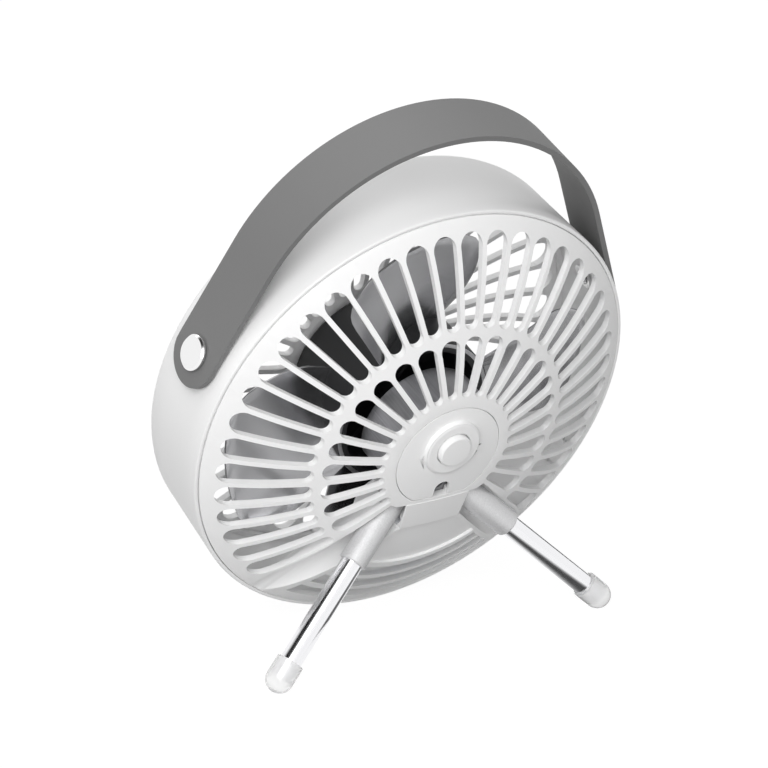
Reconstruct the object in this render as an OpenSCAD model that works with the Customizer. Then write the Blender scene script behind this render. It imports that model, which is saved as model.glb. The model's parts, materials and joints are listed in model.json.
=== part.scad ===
// Portable camping fan: a shallow round drum with a domed rear guard, a belt handle
// riveted to its sides and two fold-out legs behind.
//
// The row frame is +Z up, the air leaves towards -Y, and z = 0 is the ground.
// Every piece is drawn in the drum's own frame and seated() leans the whole fan back.
// Drum frame: Y along the fan's axis (rear +), y = 0 at the rear seam, Z up the fan,
// X across it.  All sizes are in millimetres.

/* [Stance] */
// Lean of the drum's axis when the fan stands on its legs, degrees
lean = 17; // [5:0.5:30]

/* [Drum] */
// Outside radius at the rear lip
drum_r = 86.4; // [80:0.1:95]
// Outside radius at the front face
drum_front_r = 84.8; // [78:0.1:94]
// Depth from the rear lip to the front face
drum_depth = 38.5; // [30:0.5:60]
// Wall thickness
drum_wall = 2.2; // [1.6:0.1:4]
// Round on the front corner
front_edge = 2.6; // [0.5:0.1:5]
// Round on the rear corner
rear_edge = 0.6; // [0.2:0.1:1.2]

/* [Rear guard] */
// Radius of the seam between the guard and the drum's lip
seam_r = 85; // [78:0.1:93]
// Gap at the seams
seam_gap = 0.3; // [0.2:0.05:0.5]
// Rise of the dome above the seam
dome_rise = 25.4; // [15:0.1:35]
// Wall of the dome
dome_wall = 2.3; // [1.6:0.1:4]
// Outer ring of slots: angle from slot to slot, degrees
outer_pitch = 8; // [6:0.5:12]
// Outer ring: first slot to either side of straight down, degrees
outer_first = 48; // [40:1:60]
// Outer ring: radius of the inner slot ends
outer_in = 49.6; // [45:0.1:55]
// Outer ring: radius of the outer slot ends
outer_out = 80.4; // [75:0.1:82]
// Inner ring of slots: angle from slot to slot, degrees
inner_pitch = 12; // [8:0.5:18]
// Inner ring: first slot to either side of straight down, degrees
inner_first = 54; // [48:1:66]
// Inner ring: radius of the inner slot ends
inner_in = 24.9; // [23:0.1:28]
// Inner ring: radius of the outer slot ends
inner_out = 47.1; // [42:0.1:48]
// Width of the bars between slots
bar_w = 1.8; // [1.2:0.1:3]
// Curved lower slots: radii of the edges, from the smooth floor out to the rim
arc_edges = [57.2, 62.6, 65, 70.8, 73.8, 79.6]; // [50:0.1:84]
// Outer radius of the sunk floor above the curved slots
floor_out = 54.3; // [45:0.1:55]
// Depth of the sunk floor
floor_deep = 1.1; // [0.4:0.1:1.3]

/* [Hub] */
// Radius of the hub cover
hub_r = 20.5; // [18:0.1:24]
// Height of the flat lower edge of the hub cover
hub_flat_z = -17.6; // [-20:0.1:-14]
// Half width of the arched charging inlet
inlet_r = 3; // [2:0.1:4]
// Height of the button above the fan's axis
button_z = 4.8; // [0:0.1:8]
// Radius of the collar round the button
collar_r = 11; // [9:0.1:13]
// Height of the collar
collar_h = 1.4; // [0.5:0.1:3]
// Radius of the button
button_r = 6.3; // [4:0.1:8]
// How far the button stands above its collar
button_h = 1.8; // [1:0.1:4]
// Travel of the button
button_travel = 1; // [0.4:0.1:2]

/* [Legs] */
// Hinge centre of the leg on the +X side
leg_hinge = [16.5, 17, -25.5]; // [-40:0.1:40]
// Open leg: angle from straight down, seen along the fan's axis, degrees
open_splay = 49.9; // [40:0.1:60]
// Open leg: rise out of the back, degrees
open_rise = 22.1; // [10:0.1:40]
// Folded leg: angle from straight down, degrees
fold_splay = 42.5; // [35:0.1:50]
// Folded leg: slope into its trough, degrees
fold_drop = 12.4; // [5:0.1:20]
// Outside radius of the sleeve
sleeve_r = 5.05; // [4.5:0.05:6]
// Sleeve end beyond the hinge
sleeve_end = 22.5; // [15:0.1:30]
// Outside radius of the tube
tube_r = 4; // [3:0.1:5]
// Outside radius of the foot cap
cap_r = 5.05; // [4.5:0.05:6]
// Length of the foot cap
cap_len = 12.1; // [8:0.1:16]
// Half width of the leg trough
trough_w = 7; // [6:0.1:9]
// Width of the panel between the two leg pockets
panel_w = 24; // [22:0.5:26]

/* [Handle] */
// Width of the belt
belt_w = 23.8; // [15:0.1:30]
// Thickness of the belt
belt_t = 2; // [1.5:0.1:3.5]
// Inside radius where the belt lies against the drum
belt_in_r = 86.9; // [86:0.1:90]
// Inside radius of the belt's top bend
belt_top_r = 70.9; // [60:0.1:80]
// Height of the centre of the top bend
belt_top_z = 39.9; // [30:0.1:50]
// Rivet: angle above the fan's axis, degrees
rivet_angle = 22; // [0:1:40]
// Middle of the belt along the fan's axis
belt_y = -18.3; // [-25:0.1:-12]
// Radius of the rivet's head
rivet_head_r = 6.3; // [5:0.1:8]
// Radius of the rivet's shoulder in the belt
rivet_shoulder_r = 2.8; // [2:0.1:4]

/* [Fan and motor] */
// Number of blades
blades = 4; // [3:1:5]
// Radius of the blade tips
blade_r = 72; // [66:0.5:73]
// Leading edge of a blade at its root, along the fan's axis
blade_lead = -17.5; // [-20:0.5:-12]
// Trailing edge of a blade at its highest, along the fan's axis
blade_trail = 1.6; // [-3:0.1:1.8]
// Thickness of the blades at the root
blade_t = 1.8; // [1.4:0.1:3]
// Outside radius of the black hub
rotor_hub_r = 28.5; // [24:0.5:34]
// Outside radius of the motor
motor_r = 21.2; // [18:0.1:26]
// Front end of the motor
motor_front = 2.8; // [0:0.1:6]
// Rear end of the motor
motor_rear = 13.6; // [10:0.1:20]
// Radius of the shaft
shaft_r = 1.5; // [1:0.1:3]

/* [Front guard] */
// Number of slots
front_slots = 36; // [24:1:44]
// Width of the curved bars between the slots
front_bar_w = 1.9; // [1.4:0.1:2.6]
// Radius to which the bars are bowed
front_bow = 120; // [90:1:200]
// Angle by which the bars are turned about the fan's axis, degrees
front_turn = 7.1; // [0:0.1:10]
// Radius of the slots' inner ends
front_in = 32; // [28:0.5:40]
// Radius of the slots' outer ends
front_out = 79.2; // [70:0.1:79.2]
// Thickness
front_t = 2.6; // [1.6:0.1:4]

/* [Hidden] */
$fn = 96;
eps = 0.01;
big = 220;
// Fan seated on the ground: lowest point of the rear lip, then the shift to centre it
seat_drop = (drum_r - rear_edge) * cos(lean) - rear_edge * sin(lean) + rear_edge;
seat_shift = 14.925;
// Dome sphere
dome_R = (seam_r * seam_r + dome_rise * dome_rise) / (2 * dome_rise);
dome_c = dome_rise - dome_R;
cover_r = seam_r - seam_gap;
function dome_y(r) = dome_c + sqrt(dome_R * dome_R - r * r);
function wall_r(y) = drum_r + (drum_r - drum_front_r) * y / drum_depth;
// Inside of the hub well
well_r = 19.4;
well_out = 22.6;
well_floor = 15.6;
board_y = 17.8;
ledge_y = 21.5;
collar_y = dome_y(button_z) + collar_h;
button_y = collar_y + button_h;
// Leg directions: open, folded, and the hinge pin square to both
open_dir = [sin(open_splay) * cos(open_rise), sin(open_rise), -cos(open_splay) * cos(open_rise)];
fold_dir = [sin(fold_splay) * cos(fold_drop), -sin(fold_drop), -cos(fold_splay) * cos(fold_drop)];
pin_raw = cross(open_dir, fold_dir);
pin_dir = pin_raw / norm(pin_raw);
side_dir = cross(pin_dir, open_dir);
leg_turn = [atan2(side_dir[2], pin_dir[2]), -asin(open_dir[2]), atan2(open_dir[1], open_dir[0])];
fold_angle = acos(open_dir * fold_dir);
// Height lost per millimetre along a vector of the drum frame once the fan leans back
function rise_of(v) = v[2] * cos(lean) - v[1] * sin(lean);
// Distance from the hinge to the ball of the cap, so that the cap just meets the ground
cap_at = (cap_r - seat_drop - rise_of(leg_hinge)) / rise_of(open_dir);
cap_end = cap_at + cap_r;
cap_start = cap_end - cap_len;
pin_half = 8.2;
swing_r = 8.1;
trough_wall = 1.2;
// Upper and lower edge of the panel between the leg pockets
panel_high = -19.6;
panel_low = -32.4;
// Front of the battery tray, clear of the turning blades
tray_y = 3.6;
// Belt
belt_tangent = asin((belt_in_r - belt_top_r) / belt_top_z);

// ---- placing helpers -------------------------------------------------------

module seated() {
  translate([0, seat_shift, seat_drop])
    rotate([-lean, 0, 0])
      children();
}

// Turns a shape drawn round Z so that it stands along the fan's axis; the 2D y axis
// then points down the fan.
module along_y(y = 0) {
  translate([0, y, 0])
    rotate([-90, 0, 0])
      children();
}

// The +X side as drawn, or its mirror image.
module side(s) {
  if (s > 0)
    children();
  else
    mirror([1, 0, 0])
      children();
}

// Places along the open leg: X out along the leg, Z along the hinge pin.
module on_leg() {
  translate(leg_hinge)
    rotate(leg_turn)
      children();
}

// Places along the folded leg: X out along it, Y out of the back.
module on_folded_leg() {
  translate(leg_hinge)
    rotate([0, 90 - fold_splay, 0])
      rotate([0, 0, -fold_drop])
        children();
}

// A round bar along X from a to b.
module bar_x(r, a, b) {
  translate([a, 0, 0])
    rotate([0, 90, 0])
      cylinder(r = r, h = b - a);
}

module ball(R) {
  translate([0, dome_c, 0])
    sphere(r = R, $fn = 360);
}

// A ring segment about the fan's axis, centred on an angle measured from straight down.
module ring_piece(r0, r1, y0, y1, mid, width) {
  along_y(y0)
    rotate([0, 0, 90 - mid - width / 2])
      rotate_extrude(angle = width)
        translate([r0, 0])
          square([r1 - r0, y1 - y0]);
}

// ---- drum ------------------------------------------------------------------

grille_r = drum_front_r - 3.2;
// Rear face of the front guard
grille_y = front_t - drum_depth;
flange_r = 80.9;

module drum_housing() {
  color([0.93, 0.93, 0.93])
    seated()
      difference() {
        along_y()
          rotate_extrude($fn = 180)
            polygon([
              [seam_r, 0],
              [drum_r - rear_edge, 0],
              [drum_r - 0.3 * rear_edge, -0.3 * rear_edge],
              [drum_r, -rear_edge],
              [wall_r(front_edge - drum_depth), front_edge - drum_depth],
              [drum_front_r - 0.12 * front_edge, 0.55 * front_edge - drum_depth],
              [drum_front_r - 0.45 * front_edge, 0.15 * front_edge - drum_depth],
              [drum_front_r - front_edge, -drum_depth],
              [grille_r + seam_gap, -drum_depth],
              [grille_r + seam_gap, front_t + 0.1 - drum_depth],
              [flange_r, front_t + 0.1 - drum_depth],
              [flange_r, front_t + 2.1 - drum_depth],
              [wall_r(4.5 - drum_depth) - drum_wall, front_t + 2.1 - drum_depth],
              [wall_r(-2.5) - drum_wall, -2.5],
              [seam_r, -2.5]
            ]);
        // undercuts that the rear guard's hooks catch in
        for (a = hook_angles)
          ring_piece(80, 85.1, -8.3, -6.4, a, 9);
        // rivet holes
        for (s = [-1, 1])
          rivet_axis(s)
            cylinder(r = 2.05, h = 30, center = true);
      }
}

hook_angles = [0, 62, 118, 180, 242, 298];

// Z out along a rivet; the origin is on the belt's middle surface.
module rivet_axis(s) {
  translate([0, belt_y, 0])
    rotate([0, s * (90 - rivet_angle), 0])
      translate([0, 0, belt_in_r + belt_t / 2])
        children();
}

// ---- front guard -----------------------------------------------------------

// Angle between a bar's chord and its tangent at radius r.
function bar_slant(r) = asin(r / (2 * front_bow));

// Point on the middle line of the slot at radius r, and half the slot's width there.
function slot_mid(r) = let (a = 90 - bar_slant(r) + 180 / front_slots) r * [cos(a), sin(a)];

function slot_half(r) =
  let (a = 360 / front_slots, p = slot_mid(r))
  min(
    norm(p - [front_bow, 0]) - front_bow,
    front_bow - norm(p - front_bow * [cos(a), sin(a)])
  ) - front_bar_w / 2 - 0.04;

// One slot between two bowed bars of even width, with round ends.
module front_slot_shape() {
  pitch = 360 / front_slots;
  c1 = front_out - slot_half(front_out - 5);
  c0 = front_in + slot_half(front_in + 2);
  intersection() {
    difference() {
      rotate(pitch)
        translate([front_bow, 0])
          circle(r = front_bow - front_bar_w / 2, $fn = 180);
      translate([front_bow, 0])
        circle(r = front_bow + front_bar_w / 2, $fn = 180);
    }
    translate(slot_mid(c0))
      rotate(180 / front_slots - 2 * bar_slant(c0))
        translate([-25, 0])
          square([50, 90]);
    translate(slot_mid(c1))
      rotate(180 / front_slots - 2 * bar_slant(c1))
        translate([-25, -90])
          square([50, 90]);
  }
  for (c = [c0, c1])
    translate(slot_mid(c))
      circle(r = slot_half(c), $fn = 48);
}

module front_guard() {
  color([0.92, 0.92, 0.92])
    seated() {
      along_y(-drum_depth)
        linear_extrude(front_t)
          difference() {
            circle(r = grille_r, $fn = 180);
            for (k = [0 : front_slots - 1])
              rotate(front_turn + k * 360 / front_slots)
                front_slot_shape();
          }
      // clip ring with barbs behind the drum's flange
      for (a = [0 : 60 : 300]) {
        ring_piece(front_out + 0.3, flange_r - 0.3, grille_y - 0.4, grille_y + 3.7, a, 12);
        ring_piece(flange_r - 0.4, flange_r + 0.8, grille_y + 2.3, grille_y + 3.7, a, 12);
      }
    }
}

// ---- rear guard ------------------------------------------------------------

// A tapered slot with round ends between two radii, pointing down the fan.  Its half
// width at radius r is r * sin(pitch / 2) - bar_w / 2, so the bars keep one width.
module slot_shape(r_in, r_out, pitch) {
  s = sin(pitch / 2);
  c0 = (r_in - bar_w / 2) / (1 - s);
  c1 = (r_out + bar_w / 2) / (1 + s);
  e0 = c0 * s - bar_w / 2;
  e1 = c1 * s - bar_w / 2;
  // the sides stop just inside the end circles
  w = 0.03;
  translate([0, c0])
    circle(r = e0, $fn = 36);
  translate([0, c1])
    circle(r = e1, $fn = 36);
  polygon([[w - e0, c0], [e0 - w, c0], [e1 - w, c1], [w - e1, c1]]);
}

module trough_solid(grow, high) {
  on_folded_leg() {
    translate([0, 2, 0])
      bar_x(trough_w + grow, -2, 90);
    bar_x(5.6 + grow, -6, 24 + grow);
    translate([-2, 2, -trough_w - grow])
      cube([92, high, 2 * (trough_w + grow)]);
  }
  // room for the inner end of the sleeve as it swings
  on_leg() {
    cylinder(r = swing_r + grow, h = 2 * (5.6 + grow), center = true);
    translate([0, 0, -5.6 - grow])
      rotate([0, 0, 180 - fold_angle - 6])
        cube([swing_r + grow, 9, 2 * (5.6 + grow)]);
  }
}

// Corner of the pocket beside the panel; grow is the wall round it.
module pocket_corner(grow) {
  translate([panel_w / 2 - grow, 9 - grow, panel_low - grow])
    cube([7, 30, panel_high - panel_low + 2 * grow]);
}

module pin_bosses() {
  on_leg()
    for (s = [-1, 1])
      translate([0, 0, s > 0 ? 5.6 : -9.2])
        cylinder(r = 3.4, h = 3.6, $fn = 48);
}

// 2D region of the lower sector that holds the floor and the curved slots.
module lower_sector(inset) {
  intersection() {
    inside_trough(inset);
    mirror([1, 0])
      inside_trough(inset);
  }
}

module inside_trough(inset) {
  translate([leg_hinge[0], -leg_hinge[2]])
    rotate(90 - fold_splay)
      translate([-60, trough_w + inset])
        square([big, big]);
}

module rear_guard() {
  color([0.95, 0.95, 0.95])
    seated()
      difference() {
        union() {
          // domed shell with its rim
          difference() {
            intersection() {
              ball(dome_R);
              along_y(-2.2)
                cylinder(r = cover_r, h = 60, $fn = 180);
            }
            ball(dome_R - dome_wall);
            along_y(-5)
              cylinder(r = 82.4, h = 4, $fn = 180);
            // outer and inner rings of slots
            along_y(-4)
              linear_extrude(60)
                for (s = [-1, 1]) {
                  for (a = [outer_first : outer_pitch : 179])
                    rotate(s * a)
                      slot_shape(outer_in, outer_out, outer_pitch);
                  for (a = [inner_first : inner_pitch : 179])
                    rotate(s * a)
                      slot_shape(inner_in, inner_out, inner_pitch);
                }
            // curved slots below the floor
            along_y(-4)
              linear_extrude(60)
                intersection() {
                  lower_sector(2.2);
                  for (k = [0, 2, 4])
                    difference() {
                      circle(r = arc_edges[k + 1], $fn = 180);
                      circle(r = arc_edges[k], $fn = 180);
                    }
                }
          }
          intersection() {
            ball(dome_R - 0.05);
            along_y(-2.2)
              cylinder(r = cover_r - 0.05, h = 60, $fn = 180);
            union() {
              // well behind the hub
              along_y(well_floor - 1.6)
                cylinder(r = well_out, h = 12);
              // troughs for the legs
              for (s = [-1, 1])
                side(s) {
                  trough_solid(trough_wall, 20);
                  pin_bosses();
                  pocket_corner(trough_wall);
                }
              // posts for the battery tray
              for (s = [-1, 1])
                translate([s * 17.4, tray_y + 1.6, -50])
                  along_y()
                    cylinder(r = 2.4, h = 14, $fn = 36);
            }
          }
          // hooks behind the rim
          for (a = hook_angles) {
            ring_piece(81.8, 83, -8.2, 0, a, 6);
            ring_piece(82.9, 84.5, -8.1, -6.6, a, 6);
          }
        }
        // seat and well of the hub cover
        along_y(ledge_y)
          linear_extrude(20)
            intersection() {
              circle(r = hub_r + seam_gap);
              translate([-big / 2, -big])
                square([big, big - hub_flat_z + seam_gap]);
            }
        along_y(well_floor)
          linear_extrude(ledge_y - well_floor + eps)
            intersection() {
              circle(r = well_r);
              translate([-big / 2, -big])
                square([big, big + 18.6]);
            }
        // motor bush, motor screws and socket through the well's floor
        along_y(10) {
          cylinder(r = 4.2, h = 10, $fn = 48);
          for (a = [90, 210, 330])
            rotate([0, 0, -a])
              translate([12, 0, 0])
                cylinder(r = 1.4, h = 10, $fn = 36);
          translate([-4.4, 9.7, 0])
            cube([8.8, 8.8, 10]);
          for (s = [-1, 1])
            translate([s * 14.2, -8.2, 0])
              cylinder(r = 0.95, h = 10, $fn = 36);
        }
        // legs' troughs, pockets and pins
        for (s = [-1, 1])
          side(s) {
            trough_solid(0, 30);
            pocket_corner(0);
            on_leg()
              cylinder(r = shaft_r + 0.03, h = 2 * pin_half + 0.2, center = true, $fn = 36);
          }
        // room for the motor
        along_y(-5)
          cylinder(r = motor_r + 0.2, h = motor_rear + 5.1);
        // sunk floor below the panel between the pockets
        sunk_floor();
        // pilot holes in the battery posts
        for (s = [-1, 1])
          translate([s * 17.4, tray_y, -50])
            along_y()
              cylinder(r = 0.95, h = 8, $fn = 24);
        // snap windows for the hub cover
        for (a = [0, 120, 240])
          ring_piece(well_r - 1, well_r + 0.9, 19.4, 21, a + 180, 26);
      }
}

module sunk_floor() {
  difference() {
    ball(dome_R + 2);
    ball(dome_R - floor_deep);
    along_y(-10)
      linear_extrude(60)
        difference() {
          square(big * 2, center = true);
          intersection() {
            lower_sector(1.3);
            circle(r = floor_out, $fn = 180);
            translate([-big / 2, -panel_low])
              square([big, big]);
          }
        }
  }
}

// ---- hub -------------------------------------------------------------------

module hub_outline(inset) {
  intersection() {
    circle(r = hub_r - inset);
    translate([-big / 2, -big])
      square([big, big - hub_flat_z - inset]);
  }
}

module hub_cover() {
  color([0.95, 0.95, 0.95])
    seated()
      difference() {
        union() {
          intersection() {
            ball(dome_R);
            along_y(ledge_y + 0.2)
              linear_extrude(20)
                hub_outline(0);
          }
          // collar round the button
          translate([0, 0, button_z]) {
            along_y(collar_y - 3)
              cylinder(r = collar_r, h = 2.3);
            along_y(collar_y - 0.7)
              cylinder(r1 = collar_r, r2 = collar_r - 0.7, h = 0.7);
          }
          // snap tabs into the well
          for (a = [0, 120, 240]) {
            ring_piece(well_r - 1.5, well_r - 0.35, 19.6, ledge_y + 0.4, a + 180, 20);
            ring_piece(well_r - 1, well_r + 0.5, 19.6, 20.7, a + 180, 20);
          }
        }
        // charging inlet
        along_y(0) {
          linear_extrude(40) {
            translate([0, -hub_flat_z - 3.5])
              circle(r = inlet_r, $fn = 48);
            translate([-inlet_r, -hub_flat_z - 3.5])
              square([2 * inlet_r, 6]);
          }
        }
        // hollow under the cover, and the button's well
        along_y(ledge_y)
          cylinder(r = 16, h = 1.9);
        translate([0, 0, button_z])
          along_y(10) {
            cylinder(r = button_r + 0.25, h = 40, $fn = 72);
            cylinder(r = button_r + 1.5, h = 14.4, $fn = 72);
          }
      }
}

module power_button() {
  color([0.95, 0.95, 0.95])
    seated()
      translate([0, 0, button_z])
        along_y() {
          // cap with a softened top edge
          translate([0, 0, 24])
            cylinder(r = button_r, h = button_y - 24.7, $fn = 72);
          translate([0, 0, button_y - 0.7])
            cylinder(r1 = button_r, r2 = button_r - 0.7, h = 0.7, $fn = 72);
          // skirt that keeps it in the cover
          translate([0, 0, 22.7])
            cylinder(r = button_r + 1.1, h = 1.4, $fn = 72);
        }
}

module switch_plunger() {
  color([0.1, 0.1, 0.1])
    seated()
      translate([0, 0, button_z])
        along_y(20.4)
          cylinder(r = 1.75, h = 22.7 - 20.4 - 0.02, $fn = 36);
}

module power_switch() {
  color([0.16, 0.16, 0.16])
    seated()
      translate([0, 0, button_z])
        difference() {
          translate([-3, board_y + 1.3, -3])
            cube([6, 2.5, 6]);
          along_y(board_y + 1.5)
            cylinder(r = 1.85, h = 5, $fn = 36);
        }
}

module circuit_board() {
  color([0.1, 0.35, 0.2])
    seated()
      along_y(board_y)
        linear_extrude(1.2)
          difference() {
            circle(r = 17.9);
            translate([-4.5, 9.6])
              square([9, 20]);
            for (s = [-1, 1])
              translate([s * 14.2, -8.2])
                circle(r = 1.2, $fn = 24);
          }
}

module charging_socket() {
  color([0.08, 0.08, 0.08])
    seated()
      translate([0, 0, hub_flat_z + 3.5])
        difference() {
          translate([-4.2, 13.9, -4.2])
            cube([8.4, 7.3, 8.4]);
          along_y(15)
            difference() {
              cylinder(r = 2.85, h = 10, $fn = 48);
              translate([0, 0, -1])
                cylinder(r = 1, h = 3, $fn = 24);
            }
        }
}

module board_screws() {
  color([0.6, 0.6, 0.62])
    seated()
      for (s = [-1, 1])
        translate([s * 14.2, 0, 8.2])
          along_y(well_floor + 0.1) {
            // thread into the well's floor, shoulder under the board, shank and head
            translate([0, 0, -1.5])
              cylinder(r = 0.9, h = 2, $fn = 36);
            cylinder(r = 2, h = 2, $fn = 36);
            cylinder(r = 1.1, h = 4, $fn = 36);
            translate([0, 0, 3.5])
              cylinder(r = 1.9, h = 1.1, $fn = 36);
          }
}

// ---- battery ---------------------------------------------------------------

module battery_cell() {
  color([0.35, 0.45, 0.6])
    seated()
      translate([-12.5, tray_y + 1.4, -55.5])
        cube([25, 6, 20]);
}

module battery_tray() {
  color([0.2, 0.2, 0.2])
    seated()
      difference() {
        union() {
          translate([-14, tray_y, -57])
            cube([28, 4, 23]);
          translate([-20, tray_y, -52.6])
            cube([40, 1.3, 5.2]);
        }
        translate([-12.8, tray_y + 1.2, -55.8])
          cube([25.6, 10, 20.6]);
        for (s = [-1, 1])
          translate([s * 17.4, tray_y - 1, -50])
            along_y()
              cylinder(r = 1.2, h = 5, $fn = 24);
      }
}

module tray_screws() {
  color([0.6, 0.6, 0.62])
    seated()
      for (s = [-1, 1])
        translate([s * 17.4, tray_y - 1.2, -50])
          along_y() {
            cylinder(r = 1.9, h = 1.1, $fn = 36);
            cylinder(r = 0.9, h = 8, $fn = 24);
          }
}

// ---- motor -----------------------------------------------------------------

module motor_can() {
  color([0.68, 0.68, 0.69])
    seated()
      difference() {
        along_y(motor_front)
          cylinder(r = motor_r, h = motor_rear - motor_front);
        along_y(motor_front + 1.2)
          cylinder(r = motor_r - 1.2, h = 20);
        along_y(0)
          cylinder(r = 3.52, h = 10, $fn = 48);
      }
}

module motor_end_plate() {
  color([0.6, 0.6, 0.61])
    seated()
      difference() {
        along_y(motor_rear - 1.3)
          cylinder(r = motor_r - 1.25, h = 1.3);
        along_y(0)
          cylinder(r = 3.52, h = 30, $fn = 48);
        along_y(0)
          for (a = [90, 210, 330])
            rotate([0, 0, -a])
              translate([12, 0, 0])
                cylinder(r = 1.15, h = 30, $fn = 24);
      }
}

module motor_magnets() {
  color([0.2, 0.2, 0.2])
    seated()
      for (a = [90, 270])
        ring_piece(17.2, motor_r - 1.3, motor_front + 1.7, motor_rear - 1.9, a, 150);
}

module motor_armature() {
  color([0.65, 0.4, 0.22])
    seated()
      difference() {
        along_y(motor_front + 2.7)
          linear_extrude(motor_rear - motor_front - 5.4)
            difference() {
              circle(r = 16.6);
              // slots for the windings
              for (a = [0 : 60 : 300])
                rotate(a) {
                  translate([-0.9, 9])
                    square([1.8, 10]);
                  translate([0, 10.5])
                    circle(r = 3.4, $fn = 36);
                }
            }
        along_y(0)
          cylinder(r = shaft_r + 0.01, h = 30, $fn = 48);
      }
}

module motor_shaft() {
  color([0.75, 0.75, 0.77])
    seated()
      along_y(-24)
        cylinder(r = shaft_r, h = 24 + motor_rear + 0.1, $fn = 48);
}

module motor_bushes() {
  color([0.72, 0.55, 0.3])
    seated()
      for (y = [motor_front - 0.8, motor_rear - 2.2])
        difference() {
          along_y(y)
            cylinder(r = 3.5, h = 2.6, $fn = 48);
          along_y(y - 1)
            cylinder(r = shaft_r + 0.05, h = 6, $fn = 48);
        }
}

module motor_screws() {
  color([0.6, 0.6, 0.62])
    seated()
      along_y(0)
        for (a = [90, 210, 330])
          rotate([0, 0, -a])
            translate([12, 0, motor_rear - 1.3]) {
              cylinder(r = 1.1, h = 3.4, $fn = 24);
              translate([0, 0, 3.35])
                cylinder(r = 2.2, h = 1.4, $fn = 36);
            }
}

// ---- rotor -----------------------------------------------------------------

module rotor_hub() {
  color([0.08, 0.08, 0.08])
    seated()
      difference() {
        union() {
          difference() {
            along_y(-27)
              cylinder(r = rotor_hub_r, h = 26);
            along_y(-24.6)
              cylinder(r = rotor_hub_r - 2, h = 30);
          }
          along_y(-26)
            cylinder(r = 4.5, h = 24, $fn = 48);
          for (a = [0 : 60 : 300])
            rotate([0, a, 0])
              translate([3, -25.5, -0.8])
                cube([24.4, 9, 1.6]);
        }
        along_y(-24.1)
          cylinder(r = shaft_r + 0.01, h = 40, $fn = 48);
      }
}

// A blade's two edges, as angles about the fan's axis and as places along it.
function blade_from(r) =
  -28.5 + 12.5 * pow(max(0, r - 34) / 34, 1.8) + 0.3 * pow(max(0, r - blade_r + 4), 2);
function blade_to(r) = 35.5 - 11 * pow(max(0, r - blade_r + 16) / 16, 2.5);
function blade_low(r) = blade_lead + 0.25 * (r - 30);
function blade_high(r) = blade_trail - 0.004 * pow(r - 55, 2);

// Point of a blade at radius r and u of the way across; its slope steepens across it, and
// the front face (front = 1) lies one thickness before the rear one.
function blade_point(r, u, front) =
  let (
    a = blade_from(r) + (blade_to(r) - blade_from(r)) * u,
    thick = blade_t - 0.5 * (r - rotor_hub_r) / (blade_r - rotor_hub_r),
    y = blade_low(r) + (blade_high(r) - blade_low(r)) * u * (1 + u) / 2
  )
  [r * sin(a), y - front * thick * (0.55 + 1.8 * u * (1 - u)), r * cos(a)];

// One twisted blade: stations out from the ring, places across it, and two faces.
module blade() {
  out = 10;
  across = 9;
  root = rotor_hub_r + 0.8;
  span = blade_r - root;
  row = across + 1;
  side_points = (out + 1) * row;
  function at(i, j, f) = f * side_points + i * row + j;
  points = [
    for (f = [0, 1])
      for (i = [0 : out])
        for (j = [0 : across])
          blade_point(root + span * sqrt(i / out), j / across, f)
  ];
  rear_faces = [
    for (i = [0 : out - 1])
      for (j = [0 : across - 1])
        each [
          [at(i, j, 0), at(i, j + 1, 0), at(i + 1, j, 0)],
          [at(i, j + 1, 0), at(i + 1, j + 1, 0), at(i + 1, j, 0)]
        ]
  ];
  front_faces = [
    for (i = [0 : out - 1])
      for (j = [0 : across - 1])
        each [
          [at(i, j, 1), at(i + 1, j, 1), at(i, j + 1, 1)],
          [at(i, j + 1, 1), at(i + 1, j, 1), at(i + 1, j + 1, 1)]
        ]
  ];
  end_faces = [
    for (j = [0 : across - 1])
      each [
        [at(0, j, 0), at(0, j, 1), at(0, j + 1, 1)],
        [at(0, j, 0), at(0, j + 1, 1), at(0, j + 1, 0)],
        [at(out, j, 0), at(out, j + 1, 1), at(out, j, 1)],
        [at(out, j, 0), at(out, j + 1, 0), at(out, j + 1, 1)]
      ]
  ];
  edge_faces = [
    for (i = [0 : out - 1])
      each [
        [at(i, 0, 0), at(i + 1, 0, 1), at(i, 0, 1)],
        [at(i, 0, 0), at(i + 1, 0, 0), at(i + 1, 0, 1)],
        [at(i, across, 0), at(i, across, 1), at(i + 1, across, 1)],
        [at(i, across, 0), at(i + 1, across, 1), at(i + 1, across, 0)]
      ]
  ];
  polyhedron(points, concat(rear_faces, front_faces, end_faces, edge_faces), convexity = 6);
}

module fan_blades() {
  color([0.66, 0.66, 0.66])
    seated() {
      for (k = [0 : blades - 1])
        rotate([0, k * 360 / blades, 0])
          blade();
      along_y(-27)
        difference() {
          cylinder(r = rotor_hub_r + 1.6, h = 26.2);
          translate([0, 0, -1])
            cylinder(r = rotor_hub_r + 0.02, h = 30);
        }
    }
}

// ---- handle ----------------------------------------------------------------

// A stretch of belt curved about the fan's axis, from one angle above it to another.
module belt_curve(r, a0, a1) {
  ring_piece(r, r + belt_t, belt_y - belt_w / 2, belt_y + belt_w / 2,
    90 + (a0 + a1) / 2, a1 - a0);
}

module belt_handle() {
  color([0.56, 0.56, 0.56])
    seated()
      difference() {
        union() {
          for (s = [-1, 1])
            side(s) {
              belt_curve(belt_in_r, rivet_angle - 10, belt_tangent);
              // straight run up to the top bend, a hair thinner so that its ends bed in
              rotate([0, -belt_tangent, 0])
                translate([belt_in_r + 0.02, belt_y - belt_w / 2 + 0.02, -1])
                  cube([belt_t - 0.04, belt_w - 0.04, belt_top_z * cos(belt_tangent) + 2]);
            }
          translate([0, 0, belt_top_z])
            belt_curve(belt_top_r, belt_tangent, 180 - belt_tangent);
        }
        for (s = [-1, 1]) {
          side(s)
            belt_end_cut();
          rivet_axis(s)
            cylinder(r = rivet_shoulder_r + 0.1, h = 10, center = true, $fn = 48);
        }
      }
}

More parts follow.
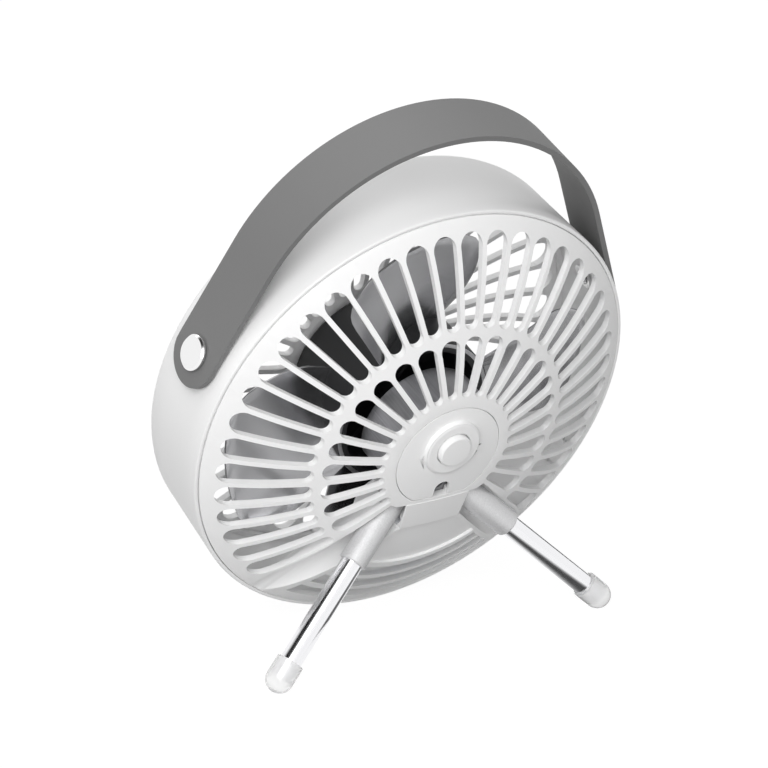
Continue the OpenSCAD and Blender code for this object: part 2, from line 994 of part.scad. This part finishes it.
// What is trimmed off below the rivet to leave the belt's end round.
module belt_end_cut() {
  rivet_axis(1)
    difference() {
      translate([0, -20, -10])
        cube([20, 40, 20]);
      cylinder(r = belt_w / 2 + 0.15, h = 30, center = true);
    }
}

module handle_rivets() {
  color([0.82, 0.82, 0.83])
    seated()
      for (s = [-1, 1])
        rivet_axis(s) {
          // shank, shoulder and head, then the spread end inside
          translate([0, 0, -6.4])
            cylinder(r = 2, h = 6.4, $fn = 48);
          translate([0, 0, -2.1])
            cylinder(r = rivet_shoulder_r, h = 3.7, $fn = 48);
          translate([0, 0, 1.5])
            cylinder(r = rivet_head_r, h = 0.8, $fn = 72);
          translate([0, 0, 2.3])
            cylinder(r1 = rivet_head_r, r2 = rivet_head_r - 0.7, h = 0.6, $fn = 72);
          translate([0, 0, -6.8])
            cylinder(r1 = 2.4, r2 = 3, h = 0.9, $fn = 36);
        }
}

module rivet_washers() {
  color([0.78, 0.78, 0.8])
    seated()
      for (s = [-1, 1])
        rivet_axis(s)
          translate([0, 0, -5.75])
            difference() {
              cylinder(r = 4.8, h = 1, $fn = 48);
              translate([0, 0, -1])
                cylinder(r = 2.03, h = 4, $fn = 48);
            }
}

// ---- legs ------------------------------------------------------------------

module leg_sleeve(s) {
  seated()
    side(s)
      on_leg()
        difference() {
          union() {
            bar_x(sleeve_r, -4, sleeve_end - 0.4);
            // domed inner end
            intersection() {
              bar_x(sleeve_r, -9, 0);
              translate([-2.2, 0, 0])
                sphere(r = 5.6, $fn = 72);
            }
            translate([sleeve_end - 0.4, 0, 0])
              rotate([0, 90, 0])
                cylinder(r1 = sleeve_r, r2 = sleeve_r - 0.4, h = 0.4);
          }
          bar_x(tube_r + 0.02, 4.9, sleeve_end + 1);
          cylinder(r = shaft_r + 0.05, h = 20, center = true, $fn = 48);
        }
}

module leg_tube(s) {
  seated()
    side(s)
      on_leg()
        difference() {
          bar_x(tube_r, 5, cap_at);
          bar_x(tube_r - 0.8, 4, cap_at + 1);
        }
}

module foot_cap(s) {
  seated()
    side(s)
      on_leg()
        difference() {
          union() {
            bar_x(cap_r, cap_start, cap_at);
            translate([cap_at, 0, 0])
              sphere(r = cap_r, $fn = 72);
          }
          bar_x(tube_r + 0.02, cap_start - 1, cap_at + 0.02);
        }
}

module hinge_pin(s) {
  seated()
    side(s)
      on_leg()
        cylinder(r = shaft_r, h = 2 * pin_half, center = true, $fn = 48);
}

module left_leg_sleeve() {
  color([0.8, 0.8, 0.81])
    leg_sleeve(1);
}

module left_leg_tube() {
  color([0.85, 0.85, 0.87])
    leg_tube(1);
}

module left_foot_cap() {
  color([0.92, 0.92, 0.92])
    foot_cap(1);
}

module left_hinge_pin() {
  color([0.7, 0.7, 0.72])
    hinge_pin(1);
}

module right_leg_sleeve() {
  color([0.8, 0.8, 0.81])
    leg_sleeve(-1);
}

module right_leg_tube() {
  color([0.85, 0.85, 0.87])
    leg_tube(-1);
}

module right_foot_cap() {
  color([0.92, 0.92, 0.92])
    foot_cap(-1);
}

module right_hinge_pin() {
  color([0.7, 0.7, 0.72])
    hinge_pin(-1);
}

drum_housing();
front_guard();
rear_guard();
hub_cover();
power_button();
switch_plunger();
power_switch();
circuit_board();
charging_socket();
battery_cell();
battery_tray();
tray_screws();
board_screws();
motor_screws();
motor_can();
motor_end_plate();
motor_magnets();
motor_armature();
motor_shaft();
motor_bushes();
rotor_hub();
fan_blades();
belt_handle();
handle_rivets();
rivet_washers();
left_leg_sleeve();
left_leg_tube();
left_foot_cap();
left_hinge_pin();
right_leg_sleeve();
right_leg_tube();
right_foot_cap();
right_hinge_pin();
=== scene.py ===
import json
import math

import bmesh
import bpy
from mathutils import Matrix, Vector


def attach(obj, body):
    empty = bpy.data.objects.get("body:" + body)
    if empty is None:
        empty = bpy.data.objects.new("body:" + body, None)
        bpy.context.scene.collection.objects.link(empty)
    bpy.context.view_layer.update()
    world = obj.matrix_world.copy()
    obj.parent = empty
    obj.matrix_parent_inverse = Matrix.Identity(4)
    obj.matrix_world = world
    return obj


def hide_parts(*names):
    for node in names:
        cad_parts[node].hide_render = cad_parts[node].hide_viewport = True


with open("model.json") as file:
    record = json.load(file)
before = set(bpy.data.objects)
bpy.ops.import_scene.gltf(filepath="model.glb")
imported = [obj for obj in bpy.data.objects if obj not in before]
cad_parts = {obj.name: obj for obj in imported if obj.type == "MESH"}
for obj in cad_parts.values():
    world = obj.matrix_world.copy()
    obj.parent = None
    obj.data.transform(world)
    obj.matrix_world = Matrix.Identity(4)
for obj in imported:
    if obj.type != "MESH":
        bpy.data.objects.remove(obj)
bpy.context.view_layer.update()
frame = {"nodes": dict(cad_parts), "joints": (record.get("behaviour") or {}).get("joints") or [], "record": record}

MM = 0.001

# ---- battery -----------------------------------------------------------------
# A flat lithium cell in blue shrink wrap sits in a black nylon tray behind the guard's
# plain field.  Two zinc plated screws hold the tray on the guard's posts.


def linear(hex_colour):
    """An sRGB hex colour as Blender's linear RGBA."""
    channels = [int(hex_colour[k:k + 2], 16) / 255 for k in (1, 3, 5)]
    return [c / 12.92 if c <= 0.04045 else ((c + 0.055) / 1.055) ** 2.4 for c in channels] + [1]


def add(tree, kind, settings={}, links={}):
    """Adds one shader node with its settings, and its links by the input's name or number."""
    node = tree.nodes.new(kind)
    for name, value in settings.items():
        if isinstance(name, int) or name in node.inputs:
            node.inputs[name].default_value = value
        else:
            setattr(node, name, value)
    for name, (source, output) in links.items():
        tree.links.new(source.outputs[output], node.inputs[name])
    return node


def new_material(name):
    """An empty material and its node tree."""
    material = bpy.data.materials.new(name)
    material.use_nodes = True
    material.node_tree.nodes.clear()
    return material, material.node_tree


def toned(base, share):
    """A linear colour with its light scaled."""
    return [c * share for c in base[:3]] + [1]


FLOW_MM = 35           # over this length a moulding's tone drifts
PLASTIC_IOR = 1.49
MOULD_BUMP, METAL_BUMP = 0.6, 0.7


def moulded(name, colour, roughness, grain_mm=0.35, depth_mm=0.008, drift=0.02):
    """Moulded plastic: a spark eroded grain and a faint drift of tone from the melt's flow."""
    material, tree = new_material(name)
    place = add(tree, "ShaderNodeTexCoord")
    grain = add(tree, "ShaderNodeTexNoise", {"Scale": 1 / (grain_mm * MM), "Detail": 2},
                {"Vector": (place, "Object")})
    flow = add(tree, "ShaderNodeTexNoise", {"Scale": 1 / (FLOW_MM * MM), "Detail": 1},
               {"Vector": (place, "Object")})
    base = linear(colour)
    tone = add(tree, "ShaderNodeMix",
               {"data_type": "RGBA", 6: toned(base, 1 - drift), 7: base}, {0: (flow, "Fac")})
    bump = add(tree, "ShaderNodeBump", {"Strength": MOULD_BUMP, "Distance": depth_mm * MM},
               {"Height": (grain, "Fac")})
    shader = add(tree, "ShaderNodeBsdfPrincipled", {"Roughness": roughness, "IOR": PLASTIC_IOR},
                 {"Base Color": (tone, 2), "Normal": (bump, "Normal")})
    add(tree, "ShaderNodeOutputMaterial", {}, {"Surface": (shader, "BSDF")})
    return material


def metal(name, colour, roughness, grain_mm, depth_mm,
          stretch=(1, 1, 1), turn=0.0, streaks=0.0, bare=1.0):
    """Bare or plated metal: its grain may be drawn out along one way, with streaks of tone."""
    material, tree = new_material(name)
    place = add(tree, "ShaderNodeTexCoord")
    drawn = add(tree, "ShaderNodeMapping", {"Rotation": (turn, 0, 0)},
                {"Vector": (place, "Object")})
    drawn = add(tree, "ShaderNodeMapping", {"Scale": stretch}, {"Vector": (drawn, "Vector")})
    grain = add(tree, "ShaderNodeTexNoise", {"Scale": 1 / (grain_mm * MM), "Detail": 3},
                {"Vector": (drawn, "Vector")})
    bump = add(tree, "ShaderNodeBump", {"Strength": METAL_BUMP, "Distance": depth_mm * MM},
               {"Height": (grain, "Fac")})
    base = linear(colour)
    tone = add(tree, "ShaderNodeMix",
               {"data_type": "RGBA", 6: toned(base, 1 - streaks), 7: base}, {0: (grain, "Fac")})
    shader = add(tree, "ShaderNodeBsdfPrincipled", {"Metallic": bare, "Roughness": roughness},
                 {"Base Color": (tone, 2), "Normal": (bump, "Normal")})
    add(tree, "ShaderNodeOutputMaterial", {}, {"Surface": (shader, "BSDF")})
    return material


def dress(node, material):
    """Gives a CAD node its finish."""
    mesh = frame["nodes"][node].data
    mesh.materials.clear()
    mesh.materials.append(material)


# Thermoplastic wrap: even blue with a low sheen.
dress("battery_cell", moulded("blue PVC shrink wrap", "#3c5a8c", 0.35, grain_mm=0.8))
# Glass filled nylon: black, with a fine matt grain.
black_nylon = moulded("black glass filled nylon", "#19191b", 0.55)
dress("battery_tray", black_nylon)
# Bright zinc: a cool even grey with a soft gleam.
zinc = metal("bright zinc plated steel", "#c6c7ca", 0.28, grain_mm=0.3, depth_mm=0.004)
dress("tray_screws", zinc)

# ---- control board ------------------------------------------------------------
# A round glass epoxy board with a green mask is screwed into the well of the rear guard.
# It carries the black push switch and the grey charging socket behind the arched inlet.

# Solder mask: a thin glossy lacquer, darker where it lies thick.
dress("circuit_board", moulded("green solder mask on glass epoxy", "#1f5a36", 0.3,
                               grain_mm=1.2, depth_mm=0.01, drift=0.15))
dress("board_screws", zinc)
for node in ("power_switch", "switch_plunger"):
    dress(node, black_nylon)
# Unfilled nylon: mid grey, a little smoother than the tray's.
dress("charging_socket", moulded("grey nylon", "#8a8a8c", 0.5))

# ---- motor ----------------------------------------------------------------------
# A drawn steel can with an end plate, two ferrite magnets, bronze bushes and a wound
# armature on its shaft.  Three screws hold it to the floor of the well.

SPIN_POINT_TO_SEAM = 12 * MM
spin = next(joint for joint in frame["joints"] if joint["name"] == "rotor_spin")
lean = math.atan2(-spin["axis"][2], spin["axis"][1])
# The fan's own axes: Y along the shaft to the rear, Z up the fan, origin at the rear seam.
SEAT = (Matrix.Translation(spin["pos_m"]) @ Matrix.Rotation(-lean, 4, "X")
        @ Matrix.Translation((0, SPIN_POINT_TO_SEAM, 0)))

BODY_OF = {node: body
           for body, nodes in frame["record"]["behaviour"]["bodies"].items() for node in nodes}

WELD_MM = 0.002          # vertices nearer than this are one
SLIVER_MM = 0.001        # edges shorter than this are dissolved


def new_piece(bm, name, material, sharp_angle):
    """A mesh object from a bmesh: smooth, with its sharp edges kept, and linked in."""
    for face in bm.faces:
        face.smooth = True
    mesh = bpy.data.meshes.new(name)
    bm.to_mesh(mesh)
    bm.free()
    mesh.set_sharp_from_angle(angle=math.radians(sharp_angle))
    mesh.materials.append(material)
    piece = bpy.data.objects.new(name, mesh)
    bpy.context.scene.collection.objects.link(piece)
    return piece


def finished(node, material, radius_mm, segments=3, angle=30, share=None, weld_mm=WELD_MM):
    """A copy of a CAD node with its edges rounded, in place of the node.  share tells what
    part of the radius an edge gets, from its middle in the fan's own millimetres."""
    bm = bmesh.new()
    bm.from_mesh(frame["nodes"][node].data)
    bmesh.ops.remove_doubles(bm, verts=bm.verts, dist=weld_mm * MM)
    bmesh.ops.dissolve_degenerate(bm, dist=SLIVER_MM * MM, edges=bm.edges)
    bmesh.ops.recalc_face_normals(bm, faces=bm.faces)
    weights = bm.edges.layers.float.new("bevel_weight_edge")
    to_fan = SEAT.inverted()
    for edge in bm.edges:
        if len(edge.link_faces) == 2 and edge.calc_face_angle() > math.radians(angle):
            middle = to_fan @ ((edge.verts[0].co + edge.verts[1].co) / 2) / MM
            edge[weights] = share(middle) if share else 1
    piece = new_piece(bm, node + "_finished", material, angle)
    bevel = piece.modifiers.new("rounded edges", "BEVEL")
    bevel.width = radius_mm * MM
    bevel.segments = segments
    bevel.limit_method = "WEIGHT"
    bevel.miter_outer = "MITER_ARC"
    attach(piece, BODY_OF[node])
    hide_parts(node)
    return piece


def turned(name, outline_mm, material, body, steps=128, start=0, sweep=360):
    """A closed outline of (radius, place along the fan) spun about the fan's axis.  A part
    turn starts at an angle from +X towards the top, and its ends are closed."""
    whole = sweep == 360
    bm = bmesh.new()
    ring = [bm.verts.new((r * MM, y * MM, 0)) for r, y in outline_mm]
    edges = [bm.edges.new((a, b)) for a, b in zip(ring, ring[1:] + ring[:1])]
    bmesh.ops.rotate(bm, verts=ring, cent=(0, 0, 0),
                     matrix=Matrix.Rotation(math.radians(-start), 3, "Y"))
    if not whole:
        bm.faces.new(ring)
    bmesh.ops.spin(bm, geom=ring + edges, cent=(0, 0, 0), axis=(0, 1, 0),
                   angle=math.radians(-sweep), steps=steps, use_merge=whole)
    bmesh.ops.remove_doubles(bm, verts=bm.verts, dist=SLIVER_MM * MM)
    if not whole:
        bmesh.ops.holes_fill(bm, edges=[edge for edge in bm.edges if edge.is_boundary])
    bmesh.ops.recalc_face_normals(bm, faces=bm.faces)
    bmesh.ops.transform(bm, matrix=SEAT, verts=bm.verts)
    piece = new_piece(bm, name, material, sharp_angle=30)
    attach(piece, body)
    return piece


# Drawn steel: fine streaks run along the can from the draw.
drawn_steel = metal("drawn nickel plated steel", "#c6c6c9", 0.36, grain_mm=0.5, depth_mm=0.008,
                    stretch=(1, 0.04, 1), turn=lean, streaks=0.55)
finished("motor_can", drawn_steel, radius_mm=0.8, segments=4)

# A thin steel flux ring slides over the can and the well behind it, open towards the legs.
FLUX_IN, FLUX_OUT = 22.65, 22.85
FLUX_FRONT, FLUX_REAR = 3.0, 20.6
FLUX_LEAD = 0.2          # its front edge slopes by this much, to slide on
FLUX_START, FLUX_SWEEP = -20, 220
turned("flux_ring",
       [(FLUX_IN, FLUX_FRONT), (FLUX_OUT, FLUX_FRONT + FLUX_LEAD),
        (FLUX_OUT, FLUX_REAR), (FLUX_IN, FLUX_REAR)],
       drawn_steel, BODY_OF["motor_can"],
       steps=96, start=FLUX_START, sweep=FLUX_SWEEP)

dress("motor_end_plate", drawn_steel)
dress("motor_screws", zinc)
dress("motor_shaft", zinc)
# Ferrite: pressed and fired, dull charcoal.
dress("motor_magnets", moulded("fired ferrite", "#3a3a3c", 0.75,
                               grain_mm=0.5, depth_mm=0.02, drift=0.1))
# Enamelled wire over steel sheets: warm copper with a lacquer gleam.
dress("motor_armature", metal("enamelled copper winding", "#b5713c", 0.35,
                              grain_mm=0.4, depth_mm=0.03,
                              stretch=(1, 0.2, 1), turn=lean, streaks=0.3))
# Sintered bronze: a fine open grain.
dress("motor_bushes", metal("sintered bronze", "#b08a4e", 0.45, grain_mm=0.2, depth_mm=0.01))

# ---- rotor --------------------------------------------------------------------
# A black nylon cup is pressed on the shaft, with a band that runs back over the blades'
# ring.  The blades and their ring are one light grey polypropylene moulding.

finished("rotor_hub", black_nylon, radius_mm=0.5)

BAND_IN, BAND_OUT = 30.0, 30.3
BAND_REAR, BAND_REAR_CORNER = -1.2, -0.75
RING_FRONT, RING_SEAT_R = -27.1, 28.4
NOSE_CORNER_R, NOSE_CORNER = 29.5, -33.2
NOSE_FRONT, NOSE_BACK = -34.3, -32
NOSE_BORE_R, NOSE_INSIDE_R = 3, 27
turned("hub_band",
       [(BAND_IN, BAND_REAR), (BAND_OUT, BAND_REAR_CORNER), (BAND_OUT, NOSE_CORNER),
        (NOSE_CORNER_R, NOSE_FRONT), (NOSE_BORE_R, NOSE_FRONT), (NOSE_BORE_R, NOSE_BACK),
        (NOSE_INSIDE_R, NOSE_BACK), (RING_SEAT_R, RING_FRONT), (BAND_IN, RING_FRONT)],
       black_nylon, BODY_OF["rotor_hub"])

# Polypropylene with a silver pigment: smooth, with a faint metallic turn of tone.
blade_grey = metal("silver pigmented polypropylene", "#b4b4b6", 0.27,
                   grain_mm=0.5, depth_mm=0.003)
finished("fan_blades", blade_grey, radius_mm=0.3, segments=2, angle=50)

# ---- drum and front guard -------------------------------------------------------
# The drum is one white ABS moulding, polished to a satin sheen outside.  The front guard
# is a second moulding in a finer matt, clipped behind the drum's flange.

# Polished ABS: a broad soft sheen.
satin_white = moulded("satin white ABS", "#f3f3f3", 0.35, depth_mm=0.004)
# Spark eroded ABS: the same white, broken by a fine grain.
matt_white = moulded("fine matt white ABS", "#f6f6f6", 0.5)
finished("drum_housing", satin_white, radius_mm=0.25, segments=2, angle=40)
finished("front_guard", matt_white, radius_mm=0.35, segments=2, angle=40)

# ---- rear guard and hub -----------------------------------------------------------
# The domed guard's slots have softly rounded edges, as the mould leaves them.  The hub's
# cover snaps into its well; the push button stands in a rolled collar.

HUB_SEAT_R = 23
POCKET_HALF, POCKET_LOW, POCKET_HIGH = 21, -34, -18
CRISP_SHARE = 0.2
BUTTON_UP, COLLAR_R, COVER_FACE = 4.8, 11.5, 25
RIM_SHARE = 0.12
DOME_R, DOME_AT = 154.92, -129.52


def guard_share(point):
    """Slots get the full round; the hub's seat and the hinge pockets stay crisp."""
    on_seat = math.hypot(point.x, point.z) < HUB_SEAT_R
    by_pocket = abs(point.x) < POCKET_HALF and POCKET_LOW < point.z < POCKET_HIGH
    return CRISP_SHARE if on_seat or by_pocket else 1


def cover_share(point):
    """The collar is rolled; the cover's rim stays crisp."""
    on_collar = math.hypot(point.x, point.z - BUTTON_UP) < COLLAR_R and point.y > COVER_FACE
    return 1 if on_collar else RIM_SHARE


def dome(x, z, lift=0.0):
    """Point of the guard's sphere over (x, z), in the fan's own millimetres."""
    return Vector((x, DOME_AT + math.sqrt((DOME_R + lift) ** 2 - x * x - z * z), z))


finished("rear_guard", matt_white, radius_mm=0.4, segments=3, angle=35, share=guard_share)
finished("hub_cover", matt_white, radius_mm=0.95, segments=5, angle=25, share=cover_share)
finished("power_button", matt_white, radius_mm=1.0, segments=5, angle=25)

# The panel between the hinge pockets: a thin plate let into the dome.
PANEL_TOP, PANEL_FOOT = 12.9, 12.2             # half its width above and below
PANEL_HIGH, PANEL_LOW = -19.5, -32.0
PANEL_PROUD, PANEL_SUNK, PANEL_EDGE = 0.14, 0.42, 0.1
bm = bmesh.new()
bmesh.ops.create_grid(bm, x_segments=24, y_segments=12, size=0.5)
for vert in bm.verts:
    down = 0.5 - vert.co.y
    half = PANEL_TOP + (PANEL_FOOT - PANEL_TOP) * down
    height = PANEL_HIGH + (PANEL_LOW - PANEL_HIGH) * down
    vert.co = dome(2 * vert.co.x * half, height, PANEL_PROUD)
back = bmesh.ops.extrude_face_region(bm, geom=bm.faces[:])
for vert in back["geom"]:
    if isinstance(vert, bmesh.types.BMVert):
        vert.co = dome(vert.co.x, vert.co.z, -PANEL_SUNK)
bmesh.ops.recalc_face_normals(bm, faces=bm.faces)
bmesh.ops.transform(bm, matrix=SEAT @ Matrix.Scale(MM, 4), verts=bm.verts)
panel = new_piece(bm, "hinge_panel", matt_white, sharp_angle=40)
bevel = panel.modifiers.new("rounded edges", "BEVEL")
bevel.width, bevel.segments, bevel.limit_method = PANEL_EDGE * MM, 2, "ANGLE"
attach(panel, BODY_OF["rear_guard"])

# ---- legs ---------------------------------------------------------------------------
# Each leg is a chromed steel tube in a bead blasted sleeve that turns on a steel pin.  A
# soft milky cap with a round end is pushed over the foot.

# Bead blasting: pale, finely pitted, with no mirror left.
blasted = metal("bead blasted aluminium", "#dededf", 0.55, grain_mm=0.45, depth_mm=0.11,
                streaks=0.3, bare=0.5)
# Bright chromium: a mirror, with the faintest unevenness.
chrome = metal("bright chromed steel", "#f2f2f4", 0.15, grain_mm=0.4, depth_mm=0.0005)


def milky(name, colour):
    """Soft clear plastic with a milky bloom: light sinks in, and the tube's end shows through."""
    cloud_mm, depth_mm, drift = 3, 0.01, 0.95
    material, tree = new_material(name)
    place = add(tree, "ShaderNodeTexCoord")
    cloud = add(tree, "ShaderNodeTexNoise", {"Scale": 1 / (cloud_mm * MM), "Detail": 2},
                {"Vector": (place, "Object")})
    bump = add(tree, "ShaderNodeBump", {"Strength": 0.3, "Distance": depth_mm * MM},
               {"Height": (cloud, "Fac")})
    base = linear(colour)
    tone = add(tree, "ShaderNodeMix",
               {"data_type": "RGBA", 6: toned(base, drift), 7: base}, {0: (cloud, "Fac")})
    shader = add(tree, "ShaderNodeBsdfPrincipled",
                 {"Roughness": 0.25, "IOR": 1.3, "Transmission Weight": 0.72},
                 {"Base Color": (tone, 2), "Normal": (bump, "Normal")})
    add(tree, "ShaderNodeOutputMaterial", {}, {"Surface": (shader, "BSDF")})
    return material


# Plasticised PVC: clear in itself, clouded so that it reads as soft white.
cap_plastic = milky("milky soft PVC", "#ffffff")
for side in ("left", "right"):
    finished(side + "_leg_sleeve", blasted, radius_mm=0.5, segments=3, angle=25)
    dress(side + "_leg_tube", chrome)
    finished(side + "_foot_cap", cap_plastic, radius_mm=0.35, segments=3, angle=40)
    dress(side + "_hinge_pin", zinc)

# ---- belt handle ------------------------------------------------------------------
# A smooth soft belt is held by a flat headed shoulder rivet on each side.  The rivets are
# spread over washers inside the drum.

# Silicone rubber: mid grey and dry to the touch, with an even tone.
belt_grey = moulded("grey silicone rubber", "#747474", 0.6,
                    grain_mm=0.6, depth_mm=0.01, drift=0.05)
BELT_WELD_MM = 0.03      # closes the step where the belt's straight run meets its bends
finished("belt_handle", belt_grey, radius_mm=0.35, segments=3, angle=40, weld_mm=BELT_WELD_MM)
# Polished nickel: nearly a mirror.
nickel = metal("polished nickel plate", "#f2f2f2", 0.16, grain_mm=0.5, depth_mm=0.001)
finished("handle_rivets", nickel, radius_mm=0.45, segments=4, angle=25)
dress("rivet_washers", nickel)

# ---- camera -----------------------------------------------------------------------
# A long lens looks down on the back of the fan from its left.

CAMERA_AZIMUTH, CAMERA_ELEVATION, CAMERA_ROLL = 148.70, 22.61, 0.66
CAMERA_DISTANCE = 1173 * MM
CAMERA_AIM = Vector((6.87, 5.95, 92.3)) * MM
CAMERA_LENS, CAMERA_SENSOR = 156.1, 36
CAMERA_NEAR, CAMERA_FAR = 0.05, 20
azimuth, elevation = math.radians(CAMERA_AZIMUTH), math.radians(CAMERA_ELEVATION)
towards_camera = Vector((math.sin(azimuth) * math.cos(elevation),
                         -math.cos(azimuth) * math.cos(elevation),
                         math.sin(elevation)))
camera = bpy.data.objects.new("camera", bpy.data.cameras.new("camera"))
camera.data.lens = CAMERA_LENS
camera.data.sensor_width = CAMERA_SENSOR
camera.data.clip_start, camera.data.clip_end = CAMERA_NEAR, CAMERA_FAR
camera.location = CAMERA_AIM + towards_camera * CAMERA_DISTANCE
camera.rotation_mode = "QUATERNION"
camera.rotation_quaternion = ((-towards_camera).to_track_quat("-Z", "Y")
                              @ Matrix.Rotation(math.radians(CAMERA_ROLL), 3, "Z").to_quaternion())
bpy.context.scene.collection.objects.link(camera)
bpy.context.scene.camera = camera

# ---- studio -------------------------------------------------------------------------
# White paper under a broad soft light from above on the left, a weak one overhead and a
# low one from the right.  Three dark cards that only mirrors see stand beside the chrome.

FAN_MIDDLE = Vector((0, 0, 0.09))


def soft_light(name, watts, size, place):
    """A square lamp aimed at the fan."""
    lamp = bpy.data.lights.new(name, "AREA")
    lamp.energy, lamp.size = watts, size
    holder = bpy.data.objects.new(name, lamp)
    holder.location = place
    holder.rotation_mode = "QUATERNION"
    holder.rotation_quaternion = (FAN_MIDDLE - Vector(place)).to_track_quat("-Z", "Y")
    bpy.context.scene.collection.objects.link(holder)


soft_light("key", 31, 1.6, (1.15, 1.25, 1.2))
soft_light("sky", 10, 1.6, (0.2, -0.5, 1.5))
soft_light("low", 4, 0.8, (0.5, 1.5, 0.25))


def sheet(name, size_x, size_y, place, face_to, material):
    """A flat rectangle, placed and turned in its mesh; faces towards a point."""
    bm = bmesh.new()
    bmesh.ops.create_grid(bm, x_segments=1, y_segments=1, size=0.5)
    bmesh.ops.scale(bm, vec=(size_x, size_y, 1), verts=bm.verts)
    turn = (Vector(face_to) - Vector(place)).to_track_quat("Z", "Y").to_matrix().to_4x4()
    bmesh.ops.transform(bm, matrix=Matrix.Translation(place) @ turn, verts=bm.verts)
    mesh = bpy.data.meshes.new(name)
    bm.to_mesh(mesh)
    bm.free()
    mesh.materials.append(material)
    piece = bpy.data.objects.new(name, mesh)
    bpy.context.scene.collection.objects.link(piece)
    return piece


def fading_card(name, colour, middle, core, reach):
    """Dark card whose edges fade: full within core of its middle along Y, gone at reach."""
    material, tree = new_material(name)
    ink = add(tree, "ShaderNodeBsdfDiffuse", {"Color": linear(colour)})
    place = add(tree, "ShaderNodeTexCoord")
    axes = add(tree, "ShaderNodeSeparateXYZ", {}, {"Vector": (place, "Object")})
    aside = add(tree, "ShaderNodeMath", {"operation": "SUBTRACT", 1: middle}, {0: (axes, "Y")})
    aside = add(tree, "ShaderNodeMath", {"operation": "ABSOLUTE"}, {0: (aside, 0)})
    fade = add(tree, "ShaderNodeMapRange",
               {"interpolation_type": "SMOOTHSTEP", "From Min": core, "From Max": reach},
               {"Value": (aside, 0)})
    clear = add(tree, "ShaderNodeBsdfTransparent")
    mixed = add(tree, "ShaderNodeMixShader", {},
                {0: (fade, "Result"), 1: (ink, "BSDF"), 2: (clear, "BSDF")})
    add(tree, "ShaderNodeOutputMaterial", {}, {"Surface": (mixed, "Shader")})
    return material


LEFT_TUBE, RIGHT_TUBE = (0.045, 0.031, 0.026), (-0.05, 0.035, 0.024)
PAPER_CLEAR = 0.0004     # the low card lies this far above the paper
cards = [
    # Matt black card: takes the light from one broad streak of the left tube.
    sheet("card_high", 1.9, 0.9, (0.545, 0.0, 0.886), LEFT_TUBE,
          fading_card("matt black card", "#0c0c0c", -0.08, 0.25, 0.9)),
    # Grey card on the paper: painted shadow of the fan under the right tube, seen only in the chrome as a soft
    # shade along the tube's lower side.
    sheet("card_low", 0.14, 0.08, (-0.050, 0.047, PAPER_CLEAR), (-0.050, 0.047, 1),
          fading_card("painted paper shadow", "#585858", 0.047, 0.004, 0.036)),
    # Dark card far behind: the thin dark line along the right tube's upper edge.
    sheet("card_far", 0.4, 0.3, (-0.93, -0.445, 0.06), RIGHT_TUBE,
          fading_card("dark card", "#1a1a1a", -0.445, 0.2, 0.5))]
for card in cards:
    for ray in ("camera", "diffuse", "transmission", "volume_scatter", "shadow"):
        setattr(card, "visible_" + ray, False)


def seen_directly(tree):
    """A node that gives 1 to rays from the camera, a mirror or clear plastic, else 0."""
    rays = add(tree, "ShaderNodeLightPath")
    seen = add(tree, "ShaderNodeMath", {"operation": "MAXIMUM"},
               {0: (rays, "Is Camera Ray"), 1: (rays, "Is Glossy Ray")})
    return add(tree, "ShaderNodeMath", {"operation": "MAXIMUM"},
               {0: (seen, 0), 1: (rays, "Is Transmission Ray")})


# Seamless white paper: matt, darker where the fan's shadow falls.  Seen directly or in a
# mirror, most of it reads as the lit background.
PAPER_SIZE, PAPER_GLOW, GLOW_STRENGTH = 12, 0.8, 1.2
material, tree = new_material("white studio paper")
paper = add(tree, "ShaderNodeBsdfDiffuse", {"Color": linear("#a8a8a8")})
glow = add(tree, "ShaderNodeEmission", {"Color": linear("#ffffff"), "Strength": GLOW_STRENGTH})
share = add(tree, "ShaderNodeMath", {"operation": "MULTIPLY", 1: PAPER_GLOW},
            {0: (seen_directly(tree), 0)})
mixed = add(tree, "ShaderNodeMixShader", {},
            {0: (share, 0), 1: (paper, "BSDF"), 2: (glow, "Emission")})
add(tree, "ShaderNodeOutputMaterial", {}, {"Surface": (mixed, "Shader")})
sheet("floor", PAPER_SIZE, PAPER_SIZE, (0, 0, 0), (0, 0, 1), material)

ROOM_LIGHT, WHITE_WALL = 0.3, 1.0
world = bpy.data.worlds.new("studio")
world.use_nodes = True
tree = world.node_tree
tree.nodes.clear()
room = add(tree, "ShaderNodeBackground", {"Color": linear("#ffffff"), "Strength": ROOM_LIGHT})
white = add(tree, "ShaderNodeBackground", {"Color": linear("#ffffff"), "Strength": WHITE_WALL})
mixed = add(tree, "ShaderNodeMixShader", {},
            {0: (seen_directly(tree), 0), 1: (room, "Background"), 2: (white, "Background")})
add(tree, "ShaderNodeOutputWorld", {}, {"Surface": (mixed, "Shader")})
bpy.context.scene.world = world
bpy.context.scene.view_settings.view_transform = "Standard"
